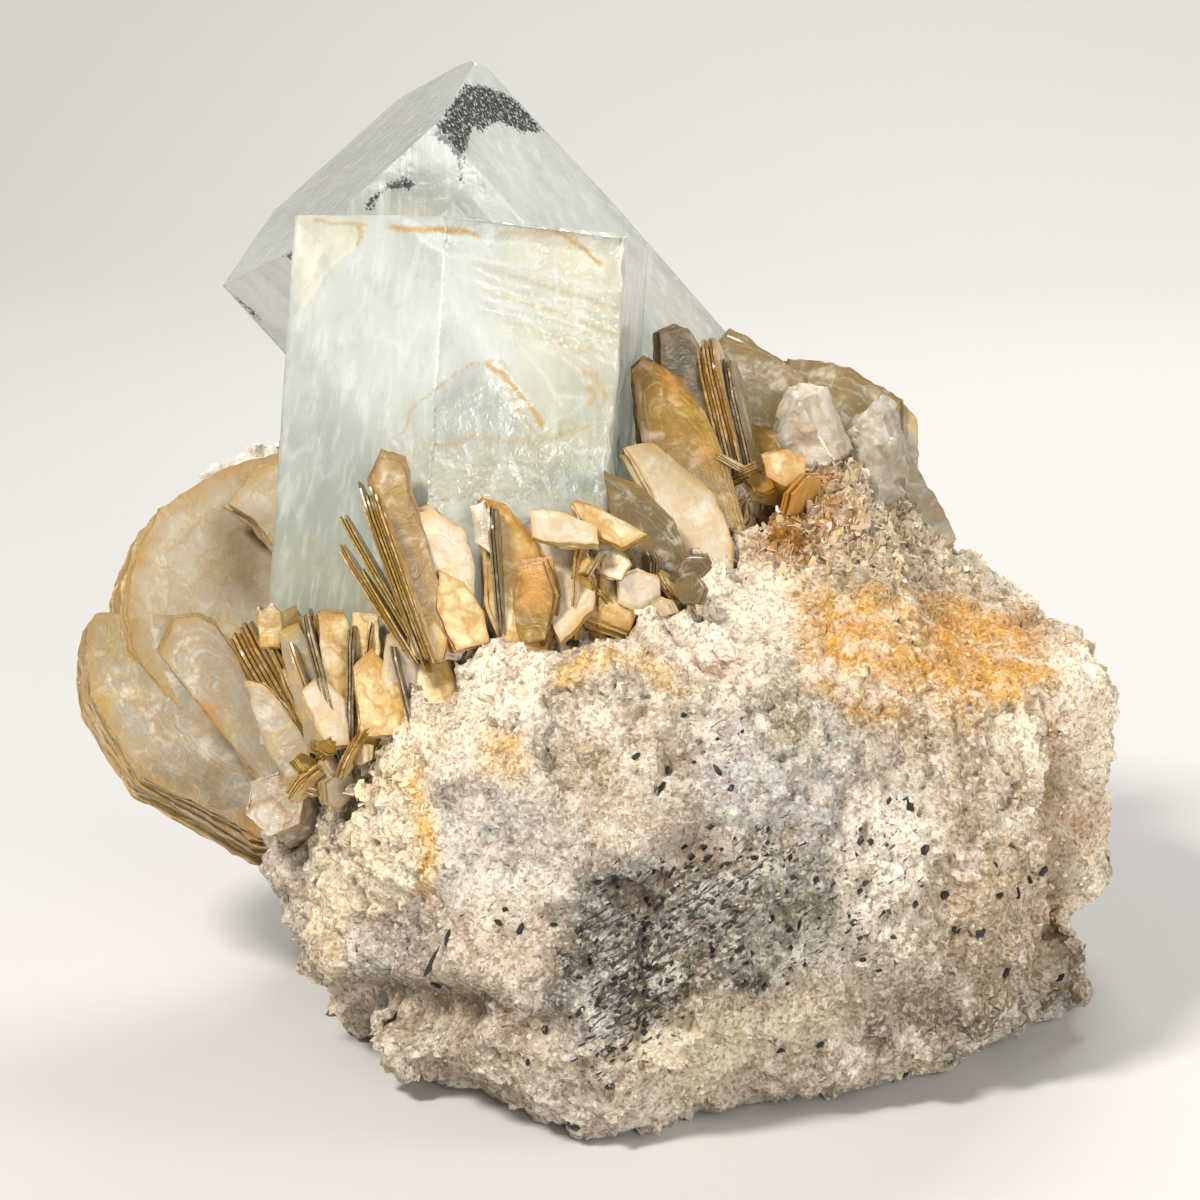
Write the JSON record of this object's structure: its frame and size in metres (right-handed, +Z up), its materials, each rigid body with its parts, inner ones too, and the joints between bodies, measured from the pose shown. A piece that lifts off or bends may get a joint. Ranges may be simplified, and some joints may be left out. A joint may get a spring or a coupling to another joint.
{
  "type": "aquamarine crystals on feldspar matrix",
  "caption": "Mineral specimen: intergrown pale hexagonal aquamarine prisms with books of mica on a broken feldspar block that rests on a flat base.",
  "frame": {"origin": "middle of the object's box at its base", "axes": "+Z up, -Y towards the display side, +X to the right as seen from it"},
  "size_m": [0.0976, 0.0836, 0.085],
  "materials": {
    "feldspar_rock": "rough broken granitic feldspar, grey to cream with rust stains and black flecks",
    "aquamarine": "vitreous, milky pale green-blue, see-through with veils",
    "albite": "white, pearly",
    "quartz": "vitreous, cloudy",
    "muscovite": "pearly cleavage faces, brown-gold layered edges"
  },
  "bodies": {
    "root": {"feldspar_matrix": "feldspar_rock", "aquamarine": "aquamarine", "albite_blade_left": "albite", "quartz_crystal_cloudy": "quartz", "quartz_crystal_smoky": "quartz", "small_hex_crystal": "quartz", "mica_book_left_large": "muscovite", "mica_book_left_low": "muscovite", "mica_book_left_pointed": "muscovite", "mica_book_left_edge": "muscovite", "mica_fan_left": "muscovite", "mica_fan_small": "muscovite", "mica_jumble_left": "muscovite", "mica_spray_centre": "muscovite", "mica_cluster_centre": "muscovite", "mica_jumble_centre": "muscovite", "mica_blade_grey": "muscovite", "mica_blade_beige": "muscovite", "mica_blade_amber": "muscovite", "mica_jumble_upper": "muscovite", "mica_books_right": "muscovite", "mica_book_rusty": "muscovite", "mica_slabs_ridge": "muscovite"}
  },
  "joints": []
}
